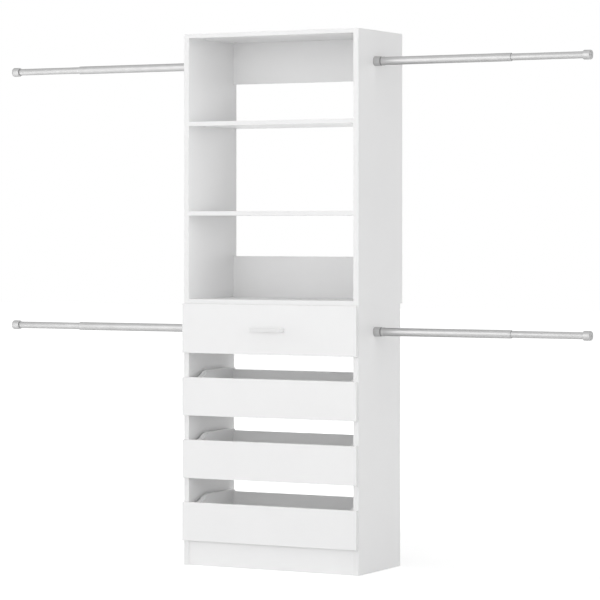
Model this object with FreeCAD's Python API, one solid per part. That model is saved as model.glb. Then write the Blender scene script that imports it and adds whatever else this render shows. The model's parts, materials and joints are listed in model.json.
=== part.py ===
import FreeCAD, Part
import os
from math import cos, radians, sin, sqrt

os.makedirs("parts", exist_ok=True)

V = FreeCAD.Vector
ORIGIN = V(0, 0, 0)
X_AXIS = V(1, 0, 0)
Y_AXIS = V(0, 1, 0)
Z_AXIS = V(0, 0, 1)
FULL_TURN = 360
FASTENER_FLATS = 6

# Carcass boards
board = 21.0
flat_board = 16.0
tower_width = 736.0
tower_height = 2000.0
lower_height = 986.0
upper_depth = 368.0
lower_depth = 350.0
back_recess = 9.0
wall_rail_height = 158.5
plinth_height = 93.0
kick_setback = 3.0
shelf_count = 2
middle_bay_extra = 6.5

# Drawer fronts, numbered from the top
drawer_count = 4
front_thickness = 16.0
front_gap = 1.0
front_side_reveal = 1.5
front_end_reveal = 1.0
top_front_height = 185.5
hand_gap = 91.0
front_round = 1.5

# Drawer boxes
drawer_board = 19.0
box_depth = 304.0
box_lift = 22.0
low_box_rise = 22.5
low_back_rise = 17.0
top_box_drop = 28.0
scoop_drop = 5.0
scoop_start = 15.0
scoop_toe_radius = 110.0
scoop_crown_radius = 80.0
bottom_thickness = 6.0
bottom_lift = 12.0
groove_depth = 6.0
groove_clearance = 0.1

# Telescopic slides, one pair to a drawer
slide_space = 12.7
slide_height = 45.0
slide_length = 300.0
slide_setback = 2.0
slide_lift = 40.0
slide_steel = 1.2
slide_bend = 1.8
web_gap = 1.0
cabinet_flange = 10.0
middle_flange = 8.8
drawer_flange = 7.6
running_gap = 0.3
cage_thickness = 3.4
cage_width = 5.0
cage_length = 130.0
outer_cage_offset = 2.2
inner_cage_offset = 3.4

# Bow handle on the top drawer
handle_length = 140.0
handle_projection = 26.0
handle_height = 15.0
handle_thickness = 9.0
handle_post_width = 12.0
handle_corner = 8.0
handle_inner_corner = 3.0
handle_screw_radius = 2.0
handle_screw_bite = 12.0
screw_head_radius = 4.0
screw_head_height = 2.4
screw_clearance = 0.1

# Hanging rods, each a telescopic pair of tubes
rod_setback = 136.0
upper_rod_drop = 115.0
lower_rod_drop = 99.0
outer_tube_radius = 15.0
outer_tube_reach = 549.0
inner_tube_radius = 12.5
tube_wall = 1.2
inner_tube_overlap = 238.0
rod_reach = 857.0
tube_mouth_length = 8.0
tube_fit = 0.1

# Rod socket on the side board
socket_radius = 17.5
socket_cup_length = 25.0
socket_neck_radius = 16.2
socket_neck_length = 4.0
socket_ring_radius = 16.8
socket_ring_length = 11.0
socket_floor = 3.0
socket_screw_radius = 2.5
socket_screw_bite = 14.0

# End cup that fixes the rod to the closet wall
cup_radius = 17.2
cup_length = 29.0
cup_floor = 3.0
cup_hole_radius = 2.5

# Cam fittings in the ends of the flat boards
cam_radius = 7.5
cam_depth = 12.5
cam_from_end = 34.0
cam_bolt_radius = 3.5
cam_bolt_bite = 11.0
cam_bolt_gap = 0.3
fitting_setback = 60.0
fitting_clearance = 0.1

# Connector bolts between the two units
unit_bolt_radius = 3.0
unit_bolt_bite = 12.0
unit_bolt_from_side = 90.0

# Places worked out from the sizes above
front_reach = front_gap + front_thickness + handle_projection
half_depth = (upper_depth + front_reach) / 2
front_plane = front_reach - half_depth
half_width = tower_width / 2
inner_half = half_width - board
upper_back = front_plane + upper_depth
lower_back = front_plane + lower_depth
front_back_face = front_plane - front_gap
front_face = front_back_face - front_thickness
lowest_front_bottom = plinth_height + front_end_reveal
highest_front_bottom = lower_height - front_end_reveal - top_front_height
front_pitch = (highest_front_bottom - lowest_front_bottom) / (drawer_count - 1)
low_front_height = front_pitch - hand_gap
box_half = inner_half - slide_space
box_inner_half = box_half - drawer_board
box_back = front_back_face + box_depth
rod_y = front_plane + rod_setback
screw_axis_x = (handle_length - handle_post_width) / 2


def block(x_low, x_high, y_low, y_high, z_low, z_high):
    corner = V(x_low, y_low, z_low)
    return Part.makeBox(x_high - x_low, y_high - y_low, z_high - z_low, corner)


def bar(radius, length, start, axis):
    """Small fastener, or the hole for one, with a few flats in place of a round wall."""
    across = Y_AXIS if abs(axis.z) == 1 else Z_AXIS
    beside = axis.cross(across)
    points = []
    for flat in range(FASTENER_FLATS + 1):
        angle = radians(FULL_TURN * flat / FASTENER_FLATS)
        points.append(start + across * (radius * cos(angle)) + beside * (radius * sin(angle)))
    return Part.Face(Part.makePolygon(points)).extrude(axis * length)


def mirrored(shape):
    return shape.mirror(ORIGIN, X_AXIS)


def both_sides(shapes):
    return shapes + [mirrored(shape) for shape in shapes]


def export(name, solids):
    shape = solids[0] if len(solids) == 1 else Part.makeCompound(solids)
    shape.exportStep(f"parts/{name}.step")


def closed_face(edges):
    return Part.Face(Part.Wire(edges))


def line(start, end):
    return Part.LineSegment(start, end).toShape()


def bend(start, end, centre):
    """Arc of under a half circle from start to end."""
    outward = (start - centre) + (end - centre)
    outward.normalize()
    middle = centre + outward * (start - centre).Length
    return Part.Arc(start, middle, end).toShape()


def turned(profile):
    """Solid of revolution about X from (distance, radius) points."""
    points = [V(distance, 0, radius) for distance, radius in profile]
    outline = Part.makePolygon(points + points[:1])
    return Part.Face(outline).revolve(ORIGIN, X_AXIS, FULL_TURN)


def headed_screw(radius, length, start, axis):
    """Screw whose round head sits on the face at start and whose shank runs along axis."""
    shank = bar(radius, length, start, axis)
    head = bar(screw_head_radius, screw_head_height, start, axis * -1)
    return shank.fuse(head)


# Flat boards: each spans the gap between the two side boards


def flat_board_levels():
    """Underside height and back edge of every flat board."""
    all_bays = tower_height - lower_height - (shelf_count + 2) * flat_board
    outer_bay = (all_bays - middle_bay_extra) / (shelf_count + 1)
    low_shelf = lower_height + flat_board + outer_bay
    high_shelf = tower_height - 2 * flat_board - outer_bay
    upper_edge = upper_back - back_recess
    lower_edge = lower_back - back_recess
    return {
        "upper_top_panel": (tower_height - flat_board, upper_edge),
        "upper_shelf_high": (high_shelf, upper_edge),
        "upper_shelf_low": (low_shelf, upper_edge),
        "upper_bottom_panel": (lower_height, upper_edge),
        "lower_top_panel": (lower_height - flat_board, lower_edge),
        "lower_bottom_panel": (plinth_height, lower_edge),
    }


LEVELS = flat_board_levels()


def cam_lock(underside, y):
    centre = V(inner_half - cam_from_end, y, underside)
    return bar(cam_radius, cam_depth, centre, Z_AXIS)


def cam_pocket(underside, y):
    centre = V(inner_half - cam_from_end, y, underside)
    return bar(cam_radius + fitting_clearance, cam_depth + fitting_clearance, centre, Z_AXIS)


def cam_bolt(underside, y):
    start = V(inner_half + cam_bolt_bite, y, underside + flat_board / 2)
    length = cam_bolt_bite + cam_from_end - cam_radius - cam_bolt_gap
    return bar(cam_bolt_radius, length, start, X_AXIS * -1)


def cam_bolt_hole(underside, y):
    start = V(inner_half + cam_bolt_bite, y, underside + flat_board / 2)
    length = cam_bolt_bite + cam_from_end
    return bar(cam_bolt_radius + fitting_clearance, length, start, X_AXIS * -1)


def cam_fittings(make, name):
    """One fitting of a kind near the front and one near the back of a board's right end."""
    underside, back = LEVELS[name]
    places = (front_plane + fitting_setback, back - fitting_setback)
    return [make(underside, y) for y in places]


def all_fittings(make, prefix=""):
    made = []
    for name in LEVELS:
        if name.startswith(prefix):
            made += cam_fittings(make, name)
    return made


def unit_bolt_starts():
    y = (front_plane + lower_back - back_recess) / 2
    x = inner_half - unit_bolt_from_side
    return [V(side * x, y, lower_height - flat_board) for side in (-1, 1)]


def unit_bolts():
    """Screws driven up through the lower unit's top into the upper unit's bottom."""
    length = flat_board + unit_bolt_bite
    return [headed_screw(unit_bolt_radius, length, start, Z_AXIS) for start in unit_bolt_starts()]


def unit_bolt_holes():
    radius = unit_bolt_radius + fitting_clearance
    length = flat_board + unit_bolt_bite
    return [bar(radius, length, start, Z_AXIS) for start in unit_bolt_starts()]


def flat_boards():
    for name, (underside, back) in LEVELS.items():
        solid = block(-inner_half, inner_half, front_plane, back, underside, underside + flat_board)
        tools = both_sides(cam_fittings(cam_pocket, name) + cam_fittings(cam_bolt_hole, name))
        if name in ("upper_bottom_panel", "lower_top_panel"):
            tools += unit_bolt_holes()
        export(name, [solid.cut(tools)])


def upright_boards():
    """Wall rails of the upper unit, and the front and rear plinth boards."""
    rail_back = upper_back - back_recess
    rail_front = rail_back - flat_board
    top_of_rail = tower_height - flat_board
    foot_of_rail = lower_height + flat_board
    kick_front = front_plane + kick_setback
    plinth_back = lower_back - back_recess
    uprights = {
        "upper_rail_top": (rail_front, rail_back, top_of_rail - wall_rail_height, top_of_rail),
        "upper_rail_bottom": (rail_front, rail_back, foot_of_rail, foot_of_rail + wall_rail_height),
        "toe_kick": (kick_front, kick_front + flat_board, 0, plinth_height),
        "rear_plinth": (plinth_back - flat_board, plinth_back, 0, plinth_height),
    }
    for name, (y_low, y_high, z_low, z_high) in uprights.items():
        export(name, [block(-inner_half, inner_half, y_low, y_high, z_low, z_high)])


def side_boards():
    screw_holes = [socket_screw_hole(height) for height in rod_heights()]
    upper = block(inner_half, half_width, front_plane, upper_back, lower_height, tower_height)
    lower = block(inner_half, half_width, front_plane, lower_back, 0, lower_height)
    upper_side = upper.cut(all_fittings(cam_bolt_hole, "upper") + screw_holes[:1])
    lower_side = lower.cut(all_fittings(cam_bolt_hole, "lower") + screw_holes[1:])
    export("upper_side_right", [upper_side])
    export("upper_side_left", [mirrored(upper_side)])
    export("lower_side_right", [lower_side])
    export("lower_side_left", [mirrored(lower_side)])


def carcass_fittings():
    export("cam_locks", both_sides(all_fittings(cam_lock)))
    export("cam_bolts", both_sides(all_fittings(cam_bolt)))
    export("unit_bolts", unit_bolts())


# Hanging rods: made on the right-hand side and mirrored to the left


def rod_heights():
    return (tower_height - upper_rod_drop, lower_height - lower_rod_drop)


def placed(shape, height):
    """A turned piece moved from the origin to its rod on the right."""
    shape.translate(V(half_width, rod_y, height))
    return shape


def socket_screw_hole(height):
    start = V(half_width, rod_y, height)
    return bar(socket_screw_radius + screw_clearance, socket_screw_bite, start, X_AXIS * -1)


def rod_socket(height):
    """Cup with a neck and a clamping ring round the outer tube's end."""
    neck_start = socket_cup_length
    ring_start = neck_start + socket_neck_length
    mouth = ring_start + socket_ring_length
    bore = outer_tube_radius + tube_fit
    body = turned([
        (0, 0),
        (0, socket_radius),
        (neck_start, socket_radius),
        (neck_start, socket_neck_radius),
        (ring_start, socket_neck_radius),
        (ring_start, socket_ring_radius),
        (mouth, socket_ring_radius),
        (mouth, bore),
        (socket_floor, bore),
        (socket_floor, 0),
    ])
    start = V(half_width + socket_floor, rod_y, height)
    hole = bar(socket_screw_radius + screw_clearance, socket_floor, start, X_AXIS * -1)
    return placed(body, height).cut(hole)


def socket_screw(height):
    start = V(half_width + socket_floor, rod_y, height)
    length = socket_floor + socket_screw_bite
    return headed_screw(socket_screw_radius, length, start, X_AXIS * -1)


def outer_tube():
    """Tube whose mouth is drawn in to guide the inner tube."""
    bore = outer_tube_radius - tube_wall
    guide = inner_tube_radius + tube_fit
    guide_start = outer_tube_reach - tube_mouth_length
    return turned([
        (socket_floor, bore),
        (socket_floor, outer_tube_radius),
        (outer_tube_reach, outer_tube_radius),
        (outer_tube_reach, guide),
        (guide_start, guide),
        (guide_start, bore),
    ])


def inner_tube():
    start = outer_tube_reach - inner_tube_overlap
    end = rod_reach - cup_floor
    bore = inner_tube_radius - tube_wall
    return turned([(start, bore), (start, inner_tube_radius), (end, inner_tube_radius), (end, bore)])


def end_cup():
    mouth = rod_reach - cup_length
    floor = rod_reach - cup_floor
    bore = inner_tube_radius + tube_fit
    return turned([
        (mouth, bore),
        (mouth, cup_radius),
        (rod_reach, cup_radius),
        (rod_reach, cup_hole_radius),
        (floor, cup_hole_radius),
        (floor, bore),
    ])


def hanging_rods():
    heights = rod_heights()
    export("rod_sockets", both_sides([rod_socket(height) for height in heights]))
    export("rod_socket_screws", both_sides([socket_screw(height) for height in heights]))
    for level, height in zip(("upper", "lower"), heights):
        for kind, makers in (
            ("rod_outer_tube", [outer_tube]),
            ("rod_inner_tube_and_cup", [inner_tube, end_cup]),
        ):
            solids = [placed(make(), height) for make in makers]
            export(f"{kind}_{level}_right", solids)
            export(f"{kind}_{level}_left", [mirrored(solid) for solid in solids])


# Drawers: number 1 is the top one


def front_bottom(number):
    return lowest_front_bottom + (drawer_count - number) * front_pitch


def front_top(number):
    height = top_front_height if number == 1 else low_front_height
    return front_bottom(number) + height


def box_bottom(number):
    return front_bottom(number) + box_lift


def box_top(number):
    if number == 1:
        return front_top(number) - top_box_drop
    return front_top(number) + low_box_rise


def back_top(number):
    if number == 1:
        return box_top(number)
    return front_top(number) + low_back_rise


def drawer_front(number):
    half = half_width - front_side_reveal
    slab = block(-half, half, front_face, front_back_face, front_bottom(number), front_top(number))
    around_face = [edge for edge in slab.Edges if edge.BoundBox.YMax < front_back_face]
    rounded = slab.makeFillet(front_round, around_face)
    if number == 1:
        return rounded.cut(handle_screw_holes(handle_screw_radius + screw_clearance))
    return rounded


def scooped_outline(number):
    """Side board outline: level just behind the front, then an S-curve up to full height."""
    x = box_inner_half
    low = box_bottom(number)
    high = box_top(number)
    toe = front_top(number) - scoop_drop
    rise = high - toe
    reach = scoop_toe_radius + scoop_crown_radius
    run = sqrt(2 * rise * reach - rise * rise)
    toe_share = scoop_toe_radius / reach
    front_foot = V(x, front_back_face, low)
    front_edge = V(x, front_back_face, toe)
    start_y = front_back_face + scoop_start
    toe_start = V(x, start_y, toe)
    inflection = V(x, start_y + run * toe_share, toe + rise * toe_share)
    crown = V(x, start_y + run, high)
    toe_centre = toe_start + Z_AXIS * scoop_toe_radius
    crown_centre = crown - Z_AXIS * scoop_crown_radius
    back_head = V(x, box_back, high)
    back_foot = V(x, box_back, low)
    return [
        line(front_foot, front_edge),
        line(front_edge, toe_start),
        bend(toe_start, inflection, toe_centre),
        bend(inflection, crown, crown_centre),
        line(crown, back_head),
        line(back_head, back_foot),
        line(back_foot, front_foot),
    ]


def bottom_level(number):
    return box_bottom(number) + bottom_lift


def bottom_groove(number):
    """Space that the drawer bottom and its clearance take from the boards round it."""
    half = box_inner_half + groove_depth
    back = box_back - drawer_board + groove_depth
    low = bottom_level(number) - groove_clearance
    high = bottom_level(number) + bottom_thickness + groove_clearance
    return block(-half, half, front_back_face, back, low, high)


def drawer_side(number):
    if number == 1:
        low = box_bottom(number)
        solid = block(box_inner_half, box_half, front_back_face, box_back, low, box_top(number))
    else:
        solid = closed_face(scooped_outline(number)).extrude(X_AXIS * drawer_board)
    return solid.cut(bottom_groove(number))


def drawer_back(number):
    inside = box_back - drawer_board
    low = box_bottom(number)
    solid = block(-box_inner_half, box_inner_half, inside, box_back, low, back_top(number))
    return solid.cut(bottom_groove(number))


def drawer_bottom(number):
    half = box_inner_half + groove_depth - groove_clearance
    back = box_back - drawer_board + groove_depth - groove_clearance
    low = bottom_level(number)
    return block(-half, half, front_back_face, back, low, low + bottom_thickness)


def drawer_boxes():
    for number in range(1, drawer_count + 1):
        export(f"drawer_{number}_front", [drawer_front(number)])
        export(f"drawer_{number}_sides", both_sides([drawer_side(number)]))
        export(f"drawer_{number}_back", [drawer_back(number)])
        export(f"drawer_{number}_bottom", [drawer_bottom(number)])


# Bow handle


def handle_level():
    return (front_bottom(1) + front_top(1)) / 2


def handle_screw_holes(radius):
    start_y = front_back_face
    length = front_thickness + handle_screw_bite
    level = handle_level()
    return [
        bar(radius, length, V(side * screw_axis_x, start_y, level), Y_AXIS * -1) for side in (-1, 1)
    ]


def handle_screws():
    length = front_thickness + handle_screw_bite
    level = handle_level()
    made = []
    for side in (-1, 1):
        start = V(side * screw_axis_x, front_back_face, level)
        made.append(headed_screw(handle_screw_radius, length, start, Y_AXIS * -1))
    return made


def handle_outline():
    """Right half of the bow, seen from above, from its middle to its foot and back."""
    z = handle_level() - handle_height / 2
    outside = handle_length / 2
    inside = outside - handle_post_width
    face = front_face - handle_projection
    back = face + handle_thickness
    outer_centre = V(outside - handle_corner, face + handle_corner, z)
    inner_centre = V(inside - handle_inner_corner, back + handle_inner_corner, z)
    face_end = V(outer_centre.x, face, z)
    outer_end = V(outside, outer_centre.y, z)
    inner_end = V(inside, inner_centre.y, z)
    back_end = V(inner_centre.x, back, z)
    return [
        line(V(0, face, z), face_end),
        bend(face_end, outer_end, outer_centre),
        line(outer_end, V(outside, front_face, z)),
        line(V(outside, front_face, z), V(inside, front_face, z)),
        line(V(inside, front_face, z), inner_end),
        bend(inner_end, back_end, inner_centre),
        line(back_end, V(0, back, z)),
        line(V(0, back, z), V(0, face, z)),
    ]


def handle():
    right_half = closed_face(handle_outline()).extrude(Z_AXIS * handle_height)
    whole = right_half.fuse(mirrored(right_half)).removeSplitter()
    return whole.cut(handle_screw_holes(handle_screw_radius + screw_clearance))


# Telescopic slides: made on the left-hand side, with x counted from the side board's face


def slide_halves():
    """Half heights over the flanges of the cabinet, middle and drawer members."""
    step = slide_steel + running_gap + cage_thickness
    cabinet = slide_height / 2
    return cabinet, cabinet - step, cabinet - 2 * step


def channel(web_x, direction, flange, half, level):
    """Rolled channel whose flanges run from its web in the given direction, bends as flats."""
    y = front_plane + slide_setback
    tip = web_x + direction * flange
    outer_x = web_x + direction * slide_bend
    steel_x = web_x + direction * slide_steel
    outer_z = half - slide_bend
    inside = half - slide_steel
    upper_half = [
        (tip, inside),
        (tip, half),
        (outer_x, half),
        (web_x, outer_z),
    ]
    lower_half = [(x, -z) for x, z in reversed(upper_half)]
    inner_corners = [(steel_x, -inside), (steel_x, inside)]
    points = [V(x, y, level + z) for x, z in upper_half + lower_half + inner_corners]
    outline = Part.makePolygon(points + points[:1])
    return Part.Face(outline).extrude(Y_AXIS * slide_length)


def ball_cages(web_x, level):
    """Cages carried by the middle member: outer ones at its rear, inner ones at its front."""
    _, middle_half, _ = slide_halves()
    front = front_plane + slide_setback
    back = front + slide_length
    inside = middle_half - slide_steel
    outer_x = web_x + outer_cage_offset
    inner_x = web_x + inner_cage_offset
    cages = []
    for side in (-1, 1):
        outer_faces = sorted((side * middle_half, side * (middle_half + cage_thickness)))
        inner_faces = sorted((side * inside, side * (inside - cage_thickness)))
        for x, y, faces in (
            (outer_x, back - cage_length, outer_faces),
            (inner_x, front, inner_faces),
        ):
            low, high = (level + z for z in faces)
            cages.append(block(x, x + cage_width, y, y + cage_length, low, high))
    return cages


def slide_members(number):
    """Cabinet member, middle member with its cages, and drawer member of the left slide."""
    level = box_bottom(number) + slide_lift
    cabinet_half, middle_half, drawer_half = slide_halves()
    cabinet_web = -inner_half
    middle_web = cabinet_web + slide_steel + web_gap
    drawer_web = cabinet_web + slide_space
    cabinet = channel(cabinet_web, 1, cabinet_flange, cabinet_half, level)
    middle = channel(middle_web, 1, middle_flange, middle_half, level)
    drawer = channel(drawer_web, -1, drawer_flange, drawer_half, level)
    return cabinet, [middle] + ball_cages(middle_web, level), drawer


def slides():
    cabinet_members = []
    for number in range(1, drawer_count + 1):
        cabinet, middle, drawer = slide_members(number)
        cabinet_members.append(cabinet)
        export(f"slide_{number}_middle_members", both_sides(middle))
        export(f"slide_{number}_drawer_members", both_sides([drawer]))
    export("slide_cabinet_members", both_sides(cabinet_members))


flat_boards()
upright_boards()
side_boards()
carcass_fittings()
hanging_rods()
drawer_boxes()
export("drawer_1_handle", [handle()])
export("handle_screws", handle_screws())
slides()
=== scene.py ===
import json
from math import asin, cos, pi, radians, sin, sqrt

import bmesh
import bpy
from mathutils import Matrix, Vector


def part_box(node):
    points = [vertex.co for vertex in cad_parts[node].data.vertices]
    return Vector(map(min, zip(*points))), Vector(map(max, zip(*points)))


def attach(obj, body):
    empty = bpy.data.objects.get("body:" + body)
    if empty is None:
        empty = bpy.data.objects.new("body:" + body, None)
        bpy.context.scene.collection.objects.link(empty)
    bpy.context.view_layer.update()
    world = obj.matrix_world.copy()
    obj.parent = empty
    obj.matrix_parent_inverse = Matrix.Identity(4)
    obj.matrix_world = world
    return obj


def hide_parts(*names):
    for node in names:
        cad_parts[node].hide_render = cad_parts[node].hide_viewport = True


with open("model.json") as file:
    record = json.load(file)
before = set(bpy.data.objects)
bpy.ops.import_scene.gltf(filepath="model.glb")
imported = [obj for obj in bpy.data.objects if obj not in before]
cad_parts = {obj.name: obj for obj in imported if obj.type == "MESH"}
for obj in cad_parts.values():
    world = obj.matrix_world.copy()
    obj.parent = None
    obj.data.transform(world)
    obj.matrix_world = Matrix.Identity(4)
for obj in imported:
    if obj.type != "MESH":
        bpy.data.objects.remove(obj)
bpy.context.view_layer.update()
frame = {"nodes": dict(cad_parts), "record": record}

# Everything is in metres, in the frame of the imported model, whose front faces -y

record = frame["record"]
BODY_OF = {node: body for body, nodes in record["behaviour"]["bodies"].items() for node in nodes}
DRAWERS = (1, 2, 3, 4)
LEVELS = ("upper", "lower")
SIDES = {"left": -1, "right": 1}
AXES = {"x": 0, "y": 1, "z": 2}

# Meshes: the most of an edge that a rounding takes, the distances under which points are
# one, the digits that solids are sorted by, and the steps round a turned piece
edge_share = 0.49
lathe_weld = 1e-7
solid_weld = 1e-6
sort_digits = 5
rod_steps = 64
screw_steps = 32
slide_hole_steps = 20

# Faces that meet at less than these angles, in degrees, shade as one
screw_smooth = 30
rod_smooth = 35
channel_smooth = 40
handle_smooth = 50
ball_smooth = 60

# Boards
band_thickness = 0.0008
band_round = 0.00036
seam_round = 0.00015
front_round = 0.0015
small_round = 0.0003
hole_margin = 0.0001
cutter_overrun = 0.001

# Scooped drawer sides, as in the part's source
scoop_drop = 0.005
scoop_start = 0.015
scoop_toe_radius = 0.110
scoop_crown_radius = 0.080
scoop_steps = 20

# Telescopic slides
slide_steel = 0.0012
slide_bend = 0.0014
slide_hole_radius = 0.0024
slide_hole_shares = (0.08, 0.3, 0.62, 0.92)
slide_screw_shares = (0.18, 0.5, 0.82)
slide_screw_radius = 0.0036
ball_radius = 0.0018
ball_count = 9
cage_strip = 0.0010
cage_longest = 0.2

# Rods
metal_round = 0.0006
tube_wall = 0.0012
tube_radius_inner = 0.0125
tube_fit = 0.0001
mouth_length = 0.008
mouth_round = 0.0022
pad_thickness = 0.0015
pad_inset = 0.0008
cup_hole_radius = 0.0025
cup_round = 0.0024
mouth_lip = 0.0004

# Socket shares of its length, from the wall out: cup, then neck, then ring
socket_cup_share = 0.625
socket_neck_share = 0.775
socket_neck_drop = 0.0020
# Outer radius of the dark ring in the neck. The ring is painted shade for the groove, not a real
# part
socket_groove_shade_drop = 0.0013
socket_ring_drop = 0.0012
socket_floor = 0.003
socket_round = 0.0008

# Bow handle
handle_round = 0.0028
handle_corner = 0.008
handle_inner_corner = 0.003
handle_thickness = 0.009
handle_post_width = 0.012
handle_arc_steps = 10
handle_hole_radius = 0.0021


# Node graphs for the materials

# A mix node has its sockets for numbers and vectors before those for colours
mix_colors = (6, 7)
mix_result = 2

# Worn metal is darker than its dark tone, worn plastic lighter than its light one
scuffed_shade = 0.82
rubbed_shade = 1.15


def grey(value):
    return (value, value, value)


def new_material(name, roughness, metallic=0.0):
    material = bpy.data.materials.new(name)
    material.use_nodes = True
    shader = material.node_tree.nodes["Principled BSDF"]
    shader.inputs["Metallic"].default_value = metallic
    shader.inputs["Roughness"].default_value = roughness
    return material, material.node_tree, shader


def noise(tree, scale, detail, stretch=(1, 1, 1)):
    """Noise in the piece's own coordinates. Scale is waves to the metre."""
    place = tree.nodes.new("ShaderNodeTexCoord")
    stretched = tree.nodes.new("ShaderNodeMapping")
    stretched.inputs["Scale"].default_value = stretch
    texture = tree.nodes.new("ShaderNodeTexNoise")
    texture.inputs["Scale"].default_value = scale
    texture.inputs["Detail"].default_value = detail
    tree.links.new(place.outputs["Object"], stretched.inputs["Vector"])
    tree.links.new(stretched.outputs["Vector"], texture.inputs["Vector"])
    return texture.outputs["Fac"]


def remap(tree, value, span, into):
    """The value moved from one span, given as low and high, into the other."""
    node = tree.nodes.new("ShaderNodeMapRange")
    ends = ("From Min", "From Max", "To Min", "To Max")
    for end, number in zip(ends, (*span, *into)):
        node.inputs[end].default_value = number
    tree.links.new(value, node.inputs["Value"])
    return node.outputs["Result"]


def computed(tree, operation, first, second):
    node = tree.nodes.new("ShaderNodeMath")
    node.operation = operation
    tree.links.new(first, node.inputs[0])
    tree.links.new(second, node.inputs[1])
    return node.outputs["Value"]


def mixed(tree, share, first, second):
    """Colour between two, each given as three numbers or as a socket."""
    node = tree.nodes.new("ShaderNodeMix")
    node.data_type = "RGBA"
    tree.links.new(share, node.inputs["Factor"])
    for place, color in zip(mix_colors, (first, second)):
        if isinstance(color, tuple):
            node.inputs[place].default_value = (*color, 1)
        else:
            tree.links.new(color, node.inputs[place])
    return node.outputs[mix_result]


def bump(tree, height, strength, distance, under=None):
    node = tree.nodes.new("ShaderNodeBump")
    node.inputs["Strength"].default_value = strength
    node.inputs["Distance"].default_value = distance
    tree.links.new(height, node.inputs["Height"])
    if under:
        tree.links.new(under, node.inputs["Normal"])
    return node.outputs["Normal"]


def edge_worn(tree, color, worn, where):
    """The colour, worn on the rounded edges of a piece where the value is high."""
    node = tree.nodes.new("ShaderNodeAttribute")
    node.attribute_name = "edge"
    return mixed(tree, computed(tree, "MULTIPLY", node.outputs["Fac"], where), color, worn)


def uneven_polish(tree, shader, value, roughness, smoother, rougher):
    """Lets the roughness follow the value, from smoother to rougher than it is given."""
    span = (roughness - smoother, roughness + rougher)
    tree.links.new(remap(tree, value, (0.3, 0.7), span), shader.inputs["Roughness"])


def melamine(name, white, shade, worn, roughness, grain=1100.0):
    """Board face: near-even white, a fine pearl texture, and slight wear along the edges."""
    material, tree, shader = new_material(name, roughness)
    clouds = remap(tree, noise(tree, scale=4.0, detail=4.0), (0.3, 0.7), (0.0, 1.0))
    scuffs = remap(tree, noise(tree, scale=55.0, detail=5.0), (0.45, 0.7), (0.0, 0.8))
    color = edge_worn(tree, mixed(tree, clouds, white, shade), worn, scuffs)
    tree.links.new(color, shader.inputs["Base Color"])
    handling = noise(tree, scale=160.0, detail=3.0)
    uneven_polish(tree, shader, handling, roughness, smoother=0.05, rougher=0.07)
    pearl = bump(tree, noise(tree, grain, detail=3.0), strength=0.22, distance=0.00012)
    waves = noise(tree, scale=90.0, detail=1.0)
    surface = bump(tree, waves, strength=0.05, distance=0.0004, under=pearl)
    tree.links.new(surface, shader.inputs["Normal"])
    return material


def chipboard():
    """Raw core of a board, seen in the drilled holes."""
    material, tree, shader = new_material("chipboard_core", 0.85)
    place = tree.nodes.new("ShaderNodeTexCoord")
    chips = tree.nodes.new("ShaderNodeTexVoronoi")
    chips.inputs["Scale"].default_value = 700.0
    tree.links.new(place.outputs["Object"], chips.inputs["Vector"])
    tone = tree.nodes.new("ShaderNodeSeparateColor")
    tree.links.new(chips.outputs["Color"], tone.inputs["Color"])
    color = mixed(tree, tone.outputs["Red"], (0.30, 0.20, 0.11), (0.62, 0.47, 0.30))
    tree.links.new(color, shader.inputs["Base Color"])
    rough = bump(tree, chips.outputs["Distance"], strength=0.6, distance=0.0006)
    tree.links.new(rough, shader.inputs["Normal"])
    return material


def metal(name, light, dark, roughness, stretch, edge_tint, metallic=1.0, depth=0.25):
    """Metal with a fine grain along the stretched direction and slight clouding."""
    material, tree, shader = new_material(name, roughness, metallic)
    clouds = remap(tree, noise(tree, scale=24.0, detail=3.0), (0.35, 0.65), (0.0, 1.0))
    scuffs = remap(tree, noise(tree, scale=140.0, detail=4.0), (0.5, 0.75), (0.0, 0.6))
    worn = tuple(channel * scuffed_shade for channel in dark)
    color = edge_worn(tree, mixed(tree, clouds, light, dark), worn, scuffs)
    tree.links.new(color, shader.inputs["Base Color"])
    shader.inputs["Specular Tint"].default_value = (*grey(edge_tint), 1)
    grain = noise(tree, scale=900.0, detail=3.0, stretch=stretch)
    uneven_polish(tree, shader, grain, roughness, smoother=0.06, rougher=0.08)
    tree.links.new(bump(tree, grain, depth, distance=0.00004), shader.inputs["Normal"])
    return material


def moulded(name, light, dark, roughness):
    """Moulded plastic or rubber with a fine spark-eroded texture."""
    material, tree, shader = new_material(name, roughness)
    clouds = remap(tree, noise(tree, scale=30.0, detail=3.0), (0.35, 0.65), (0.0, 1.0))
    worn = tuple(min(1.0, channel * rubbed_shade) for channel in light)
    color = edge_worn(tree, mixed(tree, clouds, light, dark), worn, clouds)
    tree.links.new(color, shader.inputs["Base Color"])
    handling = noise(tree, scale=300.0, detail=2.0)
    uneven_polish(tree, shader, handling, roughness, smoother=0.05, rougher=0.05)
    pits = bump(tree, noise(tree, scale=1600.0, detail=2.0), strength=0.3, distance=0.00008)
    tree.links.new(pits, shader.inputs["Normal"])
    return material


# Boards: white, its shade, its worn edges, roughness, and grain where it isn't the usual
FACE = melamine("melamine_face", grey(0.870), (0.855, 0.855, 0.857), (0.78, 0.78, 0.77), 0.42)
BAND = melamine(
    "edge_band", (0.845, 0.845, 0.847), grey(0.832), (0.76, 0.76, 0.75), 0.36, 600.0
)
BOX_FACE = melamine(
    "drawer_box_face", grey(0.900), (0.890, 0.890, 0.892), (0.81, 0.81, 0.80), 0.45
)
BOX_BAND = melamine("drawer_edge_band", grey(0.930), grey(0.920), grey(0.84), 0.36, 600.0)
HARDBOARD = melamine("hardboard_face", grey(0.88), grey(0.86), grey(0.78), 0.48, 750.0)
CORE = chipboard()

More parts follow.
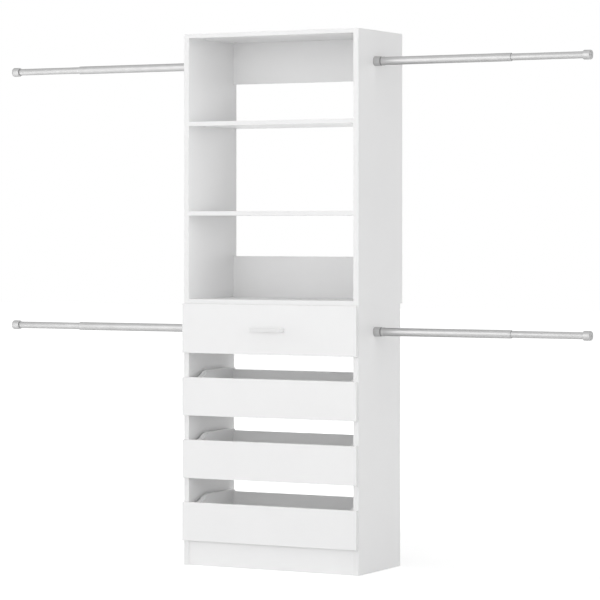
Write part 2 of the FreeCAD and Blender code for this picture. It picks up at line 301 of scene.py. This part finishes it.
# Metals: light and dark tone, roughness, stretch of the grain, tint at the rims
TUBE = metal("satin_tube", grey(0.55), grey(0.52), 0.37, (0.02, 1, 1), 0.3)
CUP = metal("satin_cup", grey(0.56), grey(0.53), 0.38, (1, 0.05, 0.05), 0.3)
SOCKET = metal("grey_socket", grey(0.54), grey(0.50), 0.42, (1, 0.05, 0.05), 0.5, metallic=0.7)
ZINC = metal("zinc_steel", (0.60, 0.61, 0.62), (0.52, 0.53, 0.55), 0.34, (1, 0.02, 1), 0.8)
DIE_CAST = metal("die_cast_zinc", grey(0.48), grey(0.40), 0.46, (1, 1, 1), 0.8, depth=0.5)
BALL_STEEL = metal("ball_steel", grey(0.70), grey(0.66), 0.16, (1, 1, 1), 0.9, depth=0.05)

# The handle's enamel is given as a board's face, the rest by light and dark tone
ENAMEL = melamine("white_enamel", grey(0.785), grey(0.772), grey(0.72), 0.32, 300.0)
RUBBER = moulded("grey_rubber", grey(0.54), grey(0.50), 0.70)
# Dark ring for the socket's neck groove: painted shade that stands in for the groove's shadow
GROOVE_SHADE = moulded("painted_groove_shade", grey(0.26), grey(0.23), 0.75)


# Meshes and pieces


def new_mesh():
    bm = bmesh.new()
    bm.faces.layers.float.new("edge")
    return bm


def to_object(name, bm, material):
    """Object of one material, with its faces turned outwards. The mesh is freed."""
    bmesh.ops.recalc_face_normals(bm, faces=bm.faces)
    mesh = bpy.data.meshes.new(name)
    bm.to_mesh(mesh)
    bm.free()
    mesh.materials.append(material)
    piece = bpy.data.objects.new(name, mesh)
    bpy.context.scene.collection.objects.link(piece)
    return piece


def smoothed(piece, angle):
    piece.data.shade_smooth()
    piece.data.set_sharp_from_angle(angle=radians(angle))
    return piece


def baked(piece):
    """The piece with its modifiers applied."""
    bpy.context.view_layer.update()
    graph = bpy.context.evaluated_depsgraph_get()
    mesh = bpy.data.meshes.new_from_object(piece.evaluated_get(graph))
    piece.modifiers.clear()
    piece.data = mesh
    return piece


def carved(piece, cutters, material):
    """Cuts the cutters out of the piece. The walls of the cuts get the material."""
    cutter = to_object("cutter", cutters, material)
    modifier = piece.modifiers.new("cut", "BOOLEAN")
    modifier.operation = "DIFFERENCE"
    modifier.solver = "EXACT"
    modifier.material_mode = "TRANSFER"
    modifier.object = cutter
    baked(piece)
    bpy.data.objects.remove(cutter)
    return piece


def placed(piece, node, replaces=True):
    """Lets the piece ride on the node's body, and stand for the node unless told not to."""
    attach(piece, BODY_OF[node])
    if replaces:
        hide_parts(node)
    return piece


def round_edges(bm, edges, radius, segments=2):
    """Rounds the edges, and marks the new faces for the materials' wear."""
    rounded = bmesh.ops.bevel(
        bm, geom=edges, offset=radius, segments=segments,
        profile=0.5, affect="EDGES", clamp_overlap=True,
    )
    layer = bm.faces.layers.float["edge"]
    for face in rounded["faces"]:
        face[layer] = 1.0


def add_box(bm, low, high):
    matrix = Matrix.Translation((low + high) / 2) @ Matrix.Diagonal((*(high - low), 1))
    return bmesh.ops.create_cube(bm, size=1, matrix=matrix)["verts"]


def add_block(bm, low, high, radius, segments=2):
    """Box with all its edges rounded."""
    verts = add_box(bm, low, high)
    edges = list(dict.fromkeys(edge for vert in verts for edge in vert.link_edges))
    round_edges(bm, edges, radius, segments)


def softened(outline, radius, steps=3):
    """Closed outline with each corner rounded, as far as its two edges leave room."""
    points = []
    for index, corner in enumerate(outline):
        ends = []
        for neighbour in (outline[index - 1], outline[(index + 1) % len(outline)]):
            along = neighbour - corner
            ends.append(corner + along.normalized() * min(radius, along.length * edge_share))
        for step in range(steps + 1):
            t = step / steps
            points.append(ends[0] * (1 - t) ** 2 + corner * 2 * t * (1 - t) + ends[1] * t ** 2)
    return points


def add_prism(bm, outline, place, far_place, radius=0.0):
    """Solid between two copies of an outline, with the edges round both ends rounded."""
    rings = [[bm.verts.new(where(point)) for point in outline] for where in (place, far_place)]
    caps = [bm.faces.new(ring) for ring in rings]
    count = len(outline)
    for index in range(count):
        after = (index + 1) % count
        bm.faces.new((rings[0][index], rings[0][after], rings[1][after], rings[1][index]))
    if radius:
        round_edges(bm, [edge for cap in caps for edge in cap.edges], radius)
    return caps


def add_lathe(bm, outline, origin, axis, steps):
    """Solid of revolution: outline points are (distance along the axis, radius)."""
    turn = axis.to_track_quat("X", "Z").to_matrix()
    angles = [2 * pi * step / steps for step in range(steps)]
    rings = []
    for point in outline:
        arms = [Vector((point.x, point.y * cos(angle), point.y * sin(angle))) for angle in angles]
        rings.append([bm.verts.new(origin + turn @ arm) for arm in arms])
    made = [vert for ring in rings for vert in ring]
    for index, ring in enumerate(rings):
        after = rings[(index + 1) % len(rings)]
        for step in range(steps):
            beside = (step + 1) % steps
            bm.faces.new((ring[step], ring[beside], after[beside], after[step]))
    bmesh.ops.remove_doubles(bm, verts=made, dist=lathe_weld)


def add_rod(bm, radius, start, end, steps=screw_steps):
    """Plain round cutter from start to end."""
    length = (end - start).length
    outline = [Vector((0, 0)), Vector((0, radius)), Vector((length, radius)), Vector((length, 0))]
    add_lathe(bm, outline, start, (end - start).normalized(), steps)


def stamp(bm, mesh, matrix):
    """Adds a moved copy of a mesh."""
    start = len(bm.verts)
    bm.from_mesh(mesh)
    bm.verts.ensure_lookup_table()
    bmesh.ops.transform(bm, matrix=matrix, verts=bm.verts[start:])


def solids(node):
    """Lowest and highest corner of each separate solid of a CAD node."""
    source = bmesh.new()
    source.from_mesh(frame["nodes"][node].data)
    bmesh.ops.remove_doubles(source, verts=source.verts, dist=solid_weld)
    boxes, seen = [], set()
    for first in source.verts:
        if first in seen:
            continue
        seen.add(first)
        group = [first]
        for vert in group:
            for edge in vert.link_edges:
                other = edge.other_vert(vert)
                if other not in seen:
                    seen.add(other)
                    group.append(other)
        low = Vector(min(vert.co[axis] for vert in group) for axis in range(3))
        high = Vector(max(vert.co[axis] for vert in group) for axis in range(3))
        boxes.append((low, high))
    source.free()

    def rounded(box):
        return [round(value, sort_digits) for corner in box for value in corner]

    return sorted(boxes, key=rounded)


def inside(point, low, high):
    return all(low[axis] < point[axis] < high[axis] for axis in range(3))


# Screws and cams are shaped once, at a radius of one, and stamped where they go

# Outlines are points of (distance along the axis, radius)
pan_outline = ((-0.4, 0), (-0.4, 0.45), (0, 0.45), (0, 1), (0.18, 1), (0.46, 0.72), (0.55, 0))
cam_outline = ((-1.6, 0), (-1.6, 0.97), (0, 0.97), (0, 0))
recess_round_share = 0.2


def cross_recess(length, width, low, high):
    """Cutter in the shape of a cross. Length and width are taken from the axis."""
    cutters = new_mesh()
    for size_y, size_z in ((length, width), (width, length)):
        start, end = Vector((low, -size_y, -size_z)), Vector((high, size_y, size_z))
        add_block(cutters, start, end, width * recess_round_share, segments=1)
    return cutters


def turned_head(name, points, rounding, recess, material):
    """Mesh of a head turned from an outline, with its recess cut."""
    outline = softened([Vector(point) for point in points], rounding)
    bm = new_mesh()
    add_lathe(bm, outline, Vector(), Vector((1, 0, 0)), screw_steps)
    piece = carved(to_object(name, bm, material), recess, material)
    mesh = smoothed(piece, screw_smooth).data
    bpy.data.objects.remove(piece)
    return mesh


pan_recess = cross_recess(length=0.55, width=0.13, low=0.22, high=1)
PAN_HEAD = turned_head("pan_head", pan_outline, 0.08, pan_recess, ZINC)
cam_recess = cross_recess(length=0.6, width=0.14, low=-0.35, high=1)
CAM_HEAD = turned_head("cam_head", cam_outline, 0.07, cam_recess, DIE_CAST)


def stamped(name, mesh, places, material):
    """One piece of many copies, each given as (point, axis, radius)."""
    bm = new_mesh()
    for point, axis, radius in places:
        turn = axis.to_track_quat("X", "Z").to_matrix().to_4x4()
        stamp(bm, mesh, Matrix.Translation(point) @ turn @ Matrix.Scale(radius, 4))
    return smoothed(to_object(name, bm, material), screw_smooth)


def shown_in_zinc(node):
    """The CAD's own solids show, in zinc."""
    materials = frame["nodes"][node].data.materials
    materials.clear()
    materials.append(ZINC)


# Boards: a faced core with thin bands glued to the edges that show


def slab(low, high, side, thickness):
    """Splits a box into the slab at one side and the rest. Side is such as -y."""
    axis = AXES[side[1]]
    slab_low, slab_high = low.copy(), high.copy()
    rest_low, rest_high = low.copy(), high.copy()
    if side[0] == "-":
        slab_high[axis] = rest_low[axis] = low[axis] + thickness
    else:
        slab_low[axis] = rest_high[axis] = high[axis] - thickness
    return (slab_low, slab_high), (rest_low, rest_high)


def hole_cutters(low, high):
    """Holes of the cams, bolts and screws that meet the board between two corners."""
    cutters = new_mesh()
    for cam_low, cam_high in solids("cam_locks"):
        middle = (cam_low + cam_high) / 2
        if inside(middle, low, high):
            radius = (cam_high.y - cam_low.y) / 2 + hole_margin
            start = Vector((middle.x, middle.y, low.z - cutter_overrun))
            add_rod(cutters, radius, start, Vector((middle.x, middle.y, cam_high.z + hole_margin)))
    for node in ("cam_bolts", "rod_socket_screws"):
        for bolt_low, bolt_high in solids(node):
            middle = (bolt_low + bolt_high) / 2
            ends = [Vector((x, middle.y, middle.z)) for x in (bolt_low.x, bolt_high.x)]
            if any(inside(end, low, high) for end in ends):
                is_screw = node == "rod_socket_screws"
                radius = cup_hole_radius if is_screw else (bolt_high.z - bolt_low.z) / 2
                start = ends[0] - Vector((hole_margin, 0, 0))
                add_rod(cutters, radius + hole_margin, start, ends[1])
    return cutters


def board(node, banded):
    """Faced board with its bands, and with holes where fittings meet it."""
    low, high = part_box(node)
    bands, bm = new_mesh(), new_mesh()
    for side in banded:
        band, (low, high) = slab(low, high, side, band_thickness)
        add_block(bands, *band, band_round)
    add_block(bm, low, high, seam_round, segments=1)
    piece = to_object(f"{node}_faced_board", bm, FACE)
    cutters = hole_cutters(low, high)
    if len(cutters.verts):
        carved(piece, cutters, CORE)
    placed(piece, node)
    if banded:
        placed(to_object(f"{node}_edge_bands", bands, BAND), node, replaces=False)


def carcass():
    for side in SIDES:
        board(f"upper_side_{side}", ("-y", "+z", "+y"))
        board(f"lower_side_{side}", ("-y", "+y"))
    for shelf in ("top_panel", "shelf_high", "shelf_low", "bottom_panel"):
        board(f"upper_{shelf}", ("-y", "+y"))
    for shelf in ("top_panel", "bottom_panel"):
        board(f"lower_{shelf}", ("-y", "+y"))
    board("upper_rail_top", ("-z",))
    board("upper_rail_bottom", ("+z",))
    board("toe_kick", ())
    board("rear_plinth", ())


def fittings():
    places = []
    for low, high in solids("cam_locks"):
        face = Vector(((low.x + high.x) / 2, (low.y + high.y) / 2, low.z - hole_margin))
        places.append((face, Vector((0, 0, -1)), (high.y - low.y) / 2))
    placed(stamped("cam_lock_discs", CAM_HEAD, places, DIE_CAST), "cam_locks")
    for node in ("cam_bolts", "unit_bolts", "rod_socket_screws"):
        shown_in_zinc(node)


# Hanging rods


def rod_piece(name, node, outline, origin, axis, material, replaces=True):
    bm = new_mesh()
    add_lathe(bm, outline, origin, axis, rod_steps)
    return placed(smoothed(to_object(name, bm, material), rod_smooth), node, replaces)


def rectangle(near, far, inner, outer):
    return [Vector(point) for point in ((near, inner), (near, outer), (far, outer), (far, inner))]


def socket(level, side, low, high):
    """Cup on the side board with a neck and a ring that clamps the tube."""
    length = high.x - low.x
    radius = (high.z - low.z) / 2
    bore = tube_radius(f"rod_outer_tube_{level}_{side}") + tube_fit
    cup, neck = length * socket_cup_share, length * socket_neck_share
    corners = (
        (0, cup_hole_radius), (0, radius), (cup, radius), (cup, radius - socket_neck_drop),
        (neck, radius - socket_neck_drop), (neck, radius - socket_ring_drop),
        (length, radius - socket_ring_drop), (length, bore),
        (socket_floor, bore), (socket_floor, cup_hole_radius),
    )
    outline = softened([Vector(corner) for corner in corners], socket_round)
    wall = low.x if SIDES[side] > 0 else high.x
    origin = Vector((wall, (low.y + high.y) / 2, (low.z + high.z) / 2))
    axis = Vector((SIDES[side], 0, 0))
    rod_piece(f"rod_socket_{level}_{side}", "rod_sockets", outline, origin, axis, SOCKET)
    # A dark ring laid in the neck is painted shade, darkening the groove in place of its shadow
    inner, outer = radius - socket_neck_drop, radius - socket_groove_shade_drop
    shade_ring = rectangle(cup + hole_margin, neck - hole_margin, inner, outer)
    outline = softened(shade_ring, small_round)
    name = f"rod_socket_gasket_{level}_{side}"
    rod_piece(name, "rod_sockets", outline, origin, axis, GROOVE_SHADE, replaces=False)


def tube_radius(node):
    low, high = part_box(node)
    return (high.z - low.z) / 2


def outer_tube(level, side, origin, axis):
    """Fixed tube, drawn in at its mouth to guide the inner tube."""
    node = f"rod_outer_tube_{level}_{side}"
    low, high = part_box(node)
    near, far = sorted((low.x * axis.x, high.x * axis.x))
    radius = tube_radius(node)
    guide, bore = tube_radius_inner + tube_fit, radius - tube_wall
    corners = (
        (near, bore), (near, radius), (far, radius), (far, guide),
        (far - mouth_length, guide), (far - mouth_length, bore),
    )
    outline = softened([Vector(corner) for corner in corners], mouth_round, steps=6)
    rod_piece(f"{node}_drawn", node, outline, origin, axis, TUBE)


def inner_tube_and_cup(level, side, origin, axis):
    """Moving tube, with the cup and the pad that stand against the wall."""
    node = f"rod_inner_tube_and_cup_{level}_{side}"
    tube, cup = sorted(solids(node), key=lambda box: box[1].z - box[0].z)
    near, far = sorted(corner.x * axis.x for corner in tube)
    outline = rectangle(near, far, tube_radius_inner - tube_wall, tube_radius_inner)
    outline = softened(outline, metal_round)
    rod_piece(f"rod_inner_tube_{level}_{side}", node, outline, origin, axis, TUBE)
    mouth, end = sorted(corner.x * axis.x for corner in cup)
    radius = (cup[1].z - cup[0].z) / 2
    guide, shell_end = tube_radius_inner + tube_fit, end - pad_thickness
    corners = (
        (mouth, guide), (mouth, guide + mouth_lip), (mouth, radius),
        (shell_end, radius), (shell_end, cup_hole_radius),
        (far, cup_hole_radius), (far, guide),
    )
    outline = softened([Vector(corner) for corner in corners], cup_round, steps=5)
    rod_piece(f"rod_end_cup_{level}_{side}", node, outline, origin, axis, CUP)
    outline = softened(rectangle(shell_end, end, cup_hole_radius, radius - pad_inset), metal_round)
    name = f"rod_end_pad_{level}_{side}"
    rod_piece(name, node, outline, origin, axis, RUBBER)


def rods():
    for low, high in solids("rod_sockets"):
        level = "upper" if low.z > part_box("lower_top_panel")[1].z else "lower"
        socket(level, "left" if low.x < 0 else "right", low, high)
    for level in LEVELS:
        for side, sign in SIDES.items():
            low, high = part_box(f"rod_outer_tube_{level}_{side}")
            origin = Vector((0, (low.y + high.y) / 2, (low.z + high.z) / 2))
            axis = Vector((sign, 0, 0))
            outer_tube(level, side, origin, axis)
            inner_tube_and_cup(level, side, origin, axis)


# Drawers


def scooped_path(front_top, low, high):
    """Top of a drawer side from front to back: level, two arcs that meet, level again."""
    toe = front_top - scoop_drop
    rise = high.z - toe
    reach = scoop_toe_radius + scoop_crown_radius
    run = sqrt(2 * rise * reach - rise * rise)
    turn = asin(run / reach)
    start = low.y + scoop_start
    path = [Vector((low.y, toe))]
    for step in range(scoop_steps):
        angle = turn * step / scoop_steps
        y = start + scoop_toe_radius * sin(angle)
        path.append(Vector((y, toe + scoop_toe_radius * (1 - cos(angle)))))
    for step in range(scoop_steps + 1):
        angle = turn * (1 - step / scoop_steps)
        y = start + run - scoop_crown_radius * sin(angle)
        path.append(Vector((y, high.z - scoop_crown_radius * (1 - cos(angle)))))
    return path + [Vector((high.y, high.z))]


def lowered(path, distance):
    """The path moved square to itself, towards the board."""
    moved = []
    for index, point in enumerate(path):
        before = path[max(index - 1, 0)]
        after = path[min(index + 1, len(path) - 1)]
        along = (after - before).normalized()
        moved.append(point + Vector((along.y, -along.x)) * distance)
    moved[0].x = path[0].x
    moved[-1].x = path[-1].x
    return moved


def across(x):
    return lambda point: Vector((x, point.x, point.y))


def grooved(piece, number):
    """The piece with room cut out of it for the drawer's bottom."""
    bottom_low, bottom_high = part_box(f"drawer_{number}_bottom")
    margin = Vector((hole_margin, hole_margin, hole_margin))
    groove = new_mesh()
    add_block(groove, bottom_low - margin, bottom_high + margin, seam_round, segments=1)
    return carved(piece, groove, CORE)


def drawer_sides(number):
    node = f"drawer_{number}_sides"
    front_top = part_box(f"drawer_{number}_front")[1].z
    boards, bands = new_mesh(), new_mesh()
    for low, high in solids(node):
        if number == 1:
            path = [Vector((low.y, high.z)), Vector((high.y, high.z))]
        else:
            path = scooped_path(front_top, low, high)
        seam = lowered(path, band_thickness)
        foot = [Vector((high.y, low.z)), Vector((low.y, low.z))]
        add_prism(boards, seam + foot, across(low.x), across(high.x), seam_round)
        add_prism(bands, path + seam[::-1], across(low.x), across(high.x), seam_round)
    placed(grooved(to_object(f"{node}_faced_boards", boards, BOX_FACE), number), node)
    placed(to_object(f"{node}_edge_bands", bands, BOX_BAND), node, replaces=False)


def drawer_back(number):
    node = f"drawer_{number}_back"
    low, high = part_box(node)
    band, core = slab(low, high, "+z", band_thickness)
    bands, bm = new_mesh(), new_mesh()
    add_block(bands, *band, band_round)
    add_block(bm, *core, seam_round, segments=1)
    placed(grooved(to_object(f"{node}_faced_board", bm, BOX_FACE), number), node)
    placed(to_object(f"{node}_edge_band", bands, BOX_BAND), node, replaces=False)


def drawer_front(number):
    """Slab whose faces and edges are wrapped, softer round the outer face than at the back."""
    node = f"drawer_{number}_front"
    low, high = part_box(node)
    bm = new_mesh()
    add_box(bm, low, high)
    for face_y, radius, segments in ((low.y, front_round, 4), (high.y, small_round, 2)):
        edges = [
            edge for edge in bm.edges
            if all(abs(vert.co.y - face_y) < small_round for vert in edge.verts)
        ]
        round_edges(bm, edges, radius, segments)
    piece = to_object(f"{node}_slab", bm, FACE)
    if number == 1:
        cutters = new_mesh()
        for screw_low, screw_high in solids("handle_screws"):
            middle = (screw_low + screw_high) / 2
            start = Vector((middle.x, low.y - cutter_overrun, middle.z))
            end = Vector((middle.x, high.y + cutter_overrun, middle.z))
            add_rod(cutters, handle_hole_radius, start, end)
        carved(piece, cutters, CORE)
    placed(piece, node)


def drawer_bottom(number):
    node = f"drawer_{number}_bottom"
    bm = new_mesh()
    add_block(bm, *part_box(node), small_round, segments=1)
    placed(to_object(f"{node}_panel", bm, HARDBOARD), node)


# Bow handle


def arc(centre, radius, first, last):
    """Points of an arc between two angles in degrees."""
    points = []
    for step in range(handle_arc_steps + 1):
        angle = radians(first + (last - first) * step / handle_arc_steps)
        points.append(centre + Vector((cos(angle), sin(angle))) * radius)
    return points


def handle_plan(low, high):
    """The bow from above: its right half, round the outside and back inside, then its left."""
    half = (high.x - low.x) / 2
    clear_half = half - handle_post_width
    outer = Vector((half - handle_corner, low.y + handle_corner))
    inner = Vector((clear_half, low.y + handle_thickness)) + Vector((-1, 1)) * handle_inner_corner
    right = arc(outer, handle_corner, -90, 0)
    right += [Vector((half, high.y)), Vector((clear_half, high.y))]
    right += arc(inner, handle_inner_corner, 0, -90)
    return right + [Vector((-point.x, point.y)) for point in reversed(right)]


def handle():
    low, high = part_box("drawer_1_handle")
    bm = new_mesh()
    caps = add_prism(
        bm, handle_plan(low, high),
        lambda point: Vector((*point, low.z)), lambda point: Vector((*point, high.z)),
    )
    edges = [
        edge for cap in caps for edge in cap.edges
        if min(vert.co.y for vert in edge.verts) < high.y - small_round
    ]
    round_edges(bm, edges, handle_round, segments=5)
    piece = to_object("drawer_1_bow_handle", bm, ENAMEL)
    placed(smoothed(piece, handle_smooth), "drawer_1_handle")


def handle_screws():
    """Heads for the CAD's screws, against the back of the drawer front."""
    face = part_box("drawer_1_front")[1].y
    places = []
    for low, high in solids("handle_screws"):
        centre = Vector(((low.x + high.x) / 2, face, (low.z + high.z) / 2))
        places.append((centre, Vector((0, 1, 0)), (high.z - low.z) / 2))
    piece = stamped("handle_screw_heads", PAN_HEAD, places, ZINC)
    placed(piece, "handle_screws", replaces=False)
    shown_in_zinc("handle_screws")


# Telescopic slides


def channel_outline(depth, half):
    """C section, from its web out to the tips of its flanges."""
    inner = half - slide_steel
    corners = (
        (depth, half), (0, half), (0, -half), (depth, -half),
        (depth, -inner), (slide_steel, -inner), (slide_steel, inner), (depth, inner),
    )
    return softened([Vector(corner) for corner in corners], slide_bend, steps=4)


def channels(name, node, boxes, opens, shares):
    """Channels of one kind. Opens is 1 where the flanges point away from the side board."""
    bm, holes = new_mesh(), new_mesh()
    for low, high in boxes:
        sign = opens if low.x < 0 else -opens
        web = low.x if sign > 0 else high.x
        middle = (low.z + high.z) / 2
        outline = channel_outline(high.x - low.x, (high.z - low.z) / 2)

        def at(y):
            return lambda point: Vector((web + sign * point.x, y, middle + point.y))

        add_prism(bm, outline, at(low.y), at(high.y))
        for share in shares:
            y = low.y + (high.y - low.y) * share
            start = Vector((web - sign * cutter_overrun, y, middle))
            end = Vector((web + sign * (slide_steel + cutter_overrun), y, middle))
            add_rod(holes, slide_hole_radius, start, end, slide_hole_steps)
    piece = carved(to_object(name, bm, ZINC), holes, ZINC)
    return placed(smoothed(piece, channel_smooth), node)


def ball_cages(number, boxes):
    cages, balls = new_mesh(), new_mesh()
    for low, high in boxes:
        middle = (low + high) / 2
        strip = Vector((0, 0, cage_strip / 2))
        strip_low = Vector((low.x, low.y, middle.z)) - strip
        strip_high = Vector((high.x, high.y, middle.z)) + strip
        add_block(cages, strip_low, strip_high, small_round, segments=1)
        pitch = (high.y - low.y) / ball_count
        for index in range(ball_count):
            place = Vector((middle.x, low.y + pitch * (index + 0.5), middle.z))
            bmesh.ops.create_icosphere(
                balls, subdivisions=2, radius=ball_radius, matrix=Matrix.Translation(place)
            )
    node = f"slide_{number}_middle_members"
    placed(to_object(f"slide_{number}_ball_cages", cages, ZINC), node)
    piece = to_object(f"slide_{number}_balls", balls, BALL_STEEL)
    placed(smoothed(piece, ball_smooth), node)


def slide_screws(number, boxes):
    """Pan heads inside the drawer members' channels, against their webs."""
    places = []
    for low, high in boxes:
        sign = 1 if low.x < 0 else -1
        face = high.x - slide_steel if sign > 0 else low.x + slide_steel
        for share in slide_screw_shares:
            centre = Vector((face, low.y + (high.y - low.y) * share, (low.z + high.z) / 2))
            places.append((centre, Vector((-sign, 0, 0)), slide_screw_radius))
    node = f"slide_{number}_drawer_members"
    placed(stamped(f"slide_{number}_screws", PAN_HEAD, places, ZINC), node, replaces=False)


def slides(number):
    """One drawer's pair of slides. A middle member's channel is longer than any cage."""
    sides_low, sides_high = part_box(f"drawer_{number}_sides")
    cabinet = [
        box for box in solids("slide_cabinet_members")
        if sides_low.z < (box[0].z + box[1].z) / 2 < sides_high.z
    ]
    name = f"slide_{number}_cabinet_channels"
    channels(name, "slide_cabinet_members", cabinet, 1, slide_hole_shares)
    node = f"slide_{number}_middle_members"
    parts = solids(node)
    middle = [box for box in parts if box[1].y - box[0].y > cage_longest]
    channels(f"slide_{number}_middle_channels", node, middle, 1, slide_hole_shares)
    ball_cages(number, [box for box in parts if box not in middle])
    node = f"slide_{number}_drawer_members"
    drawer = solids(node)
    channels(f"slide_{number}_drawer_channels", node, drawer, -1, ())
    slide_screws(number, drawer)


def drawers():
    for number in DRAWERS:
        drawer_front(number)
        drawer_sides(number)
        drawer_back(number)
        drawer_bottom(number)
        slides(number)
    handle()
    handle_screws()


# Studio: floor, light and camera

camera_place = (4.9268, -9.2316, 1.27119)
camera_turn = radians(27.89)
focal_length = 166.93
sensor_width = 36.0
camera_shift = -0.1207
floor_size = 60.0
floor_drop = 0.0003
floor_color = 0.82
floor_roughness = 0.9
floor_span = (1.2, 4.5)
floor_glow = (0.40, 0.90)
ambient = 0.245
lamp_size = 5.0
lamp_target = Vector((0, 0, 1.0))
mirrored_lamp = "front_left"

# Each lamp's name, place and power in watts
lamp_rows = (
    ("front_left", (-3.0, -7.0, 3.0), 82.0),
    ("front", (0.5, -7.8, 2.0), 106.0),
    ("camera_side", (4.0, -7.0, 2.0), 59.0),
    ("right", (7.5, -2.5, 2.5), 200.0),
    ("top", (0.5, -2.5, 7.5), 108.0),
    ("back", (0.0, 7.5, 2.0), 350.0),
    ("left", (-7.5, -1.5, 2.5), 300.0),
)


def seen_directly(tree):
    """One for rays from the camera, off glossy surfaces or through glass, zero for the rest."""
    path = tree.nodes.new("ShaderNodeLightPath").outputs
    seen = computed(tree, "MAXIMUM", path["Is Camera Ray"], path["Is Glossy Ray"])
    return computed(tree, "MAXIMUM", seen, path["Is Transmission Ray"])


def studio_world():
    world = bpy.data.worlds.new("studio")
    bpy.context.scene.world = world
    world.use_nodes = True
    tree = world.node_tree
    sky = tree.nodes["Background"]
    sky.inputs["Color"].default_value = (1, 1, 1, 1)
    strength = remap(tree, seen_directly(tree), (0, 1), (ambient, 1))
    tree.links.new(strength, sky.inputs["Strength"])


def floor():
    """Pale floor that glows towards white with distance, for rays from the camera."""
    bm = new_mesh()
    bmesh.ops.create_grid(bm, x_segments=1, y_segments=1, size=floor_size / 2)
    bmesh.ops.translate(bm, verts=bm.verts, vec=(0, 0, -floor_drop))
    material, tree, shader = new_material("pale_floor", floor_roughness)
    shader.inputs["Base Color"].default_value = (*grey(floor_color), 1)
    shader.inputs["Specular IOR Level"].default_value = 0.0
    shader.inputs["Emission Color"].default_value = (1, 1, 1, 1)
    place = tree.nodes.new("ShaderNodeTexCoord")
    distance = tree.nodes.new("ShaderNodeVectorMath")
    distance.operation = "LENGTH"
    tree.links.new(place.outputs["Object"], distance.inputs[0])
    glow = remap(tree, distance.outputs["Value"], floor_span, floor_glow)
    glow = computed(tree, "MULTIPLY", seen_directly(tree), glow)
    tree.links.new(glow, shader.inputs["Emission Strength"])
    to_object("studio_floor", bm, material)


def lamp(name, place, power):
    """Large soft lamp that the camera doesn't see. Metal mirrors one of them, a light band."""
    light = bpy.data.lights.new(name, "AREA")
    light.shape = "SQUARE"
    light.size = lamp_size
    light.energy = power
    piece = bpy.data.objects.new(name, light)
    piece.location = place
    piece.rotation_euler = (lamp_target - Vector(place)).to_track_quat("-Z", "Y").to_euler()
    piece.visible_camera = False
    piece.visible_glossy = name == mirrored_lamp
    bpy.context.scene.collection.objects.link(piece)


def camera():
    lens = bpy.data.cameras.new("camera")
    lens.sensor_width = sensor_width
    lens.lens = focal_length
    lens.shift_y = camera_shift
    piece = bpy.data.objects.new("camera", lens)
    piece.location = camera_place
    piece.rotation_euler = (pi / 2, 0, camera_turn)
    bpy.context.scene.collection.objects.link(piece)
    bpy.context.scene.camera = piece


carcass()
fittings()
rods()
drawers()
studio_world()
floor()
for lamp_row in lamp_rows:
    lamp(*lamp_row)
camera()
bpy.context.scene.view_settings.view_transform = "Standard"
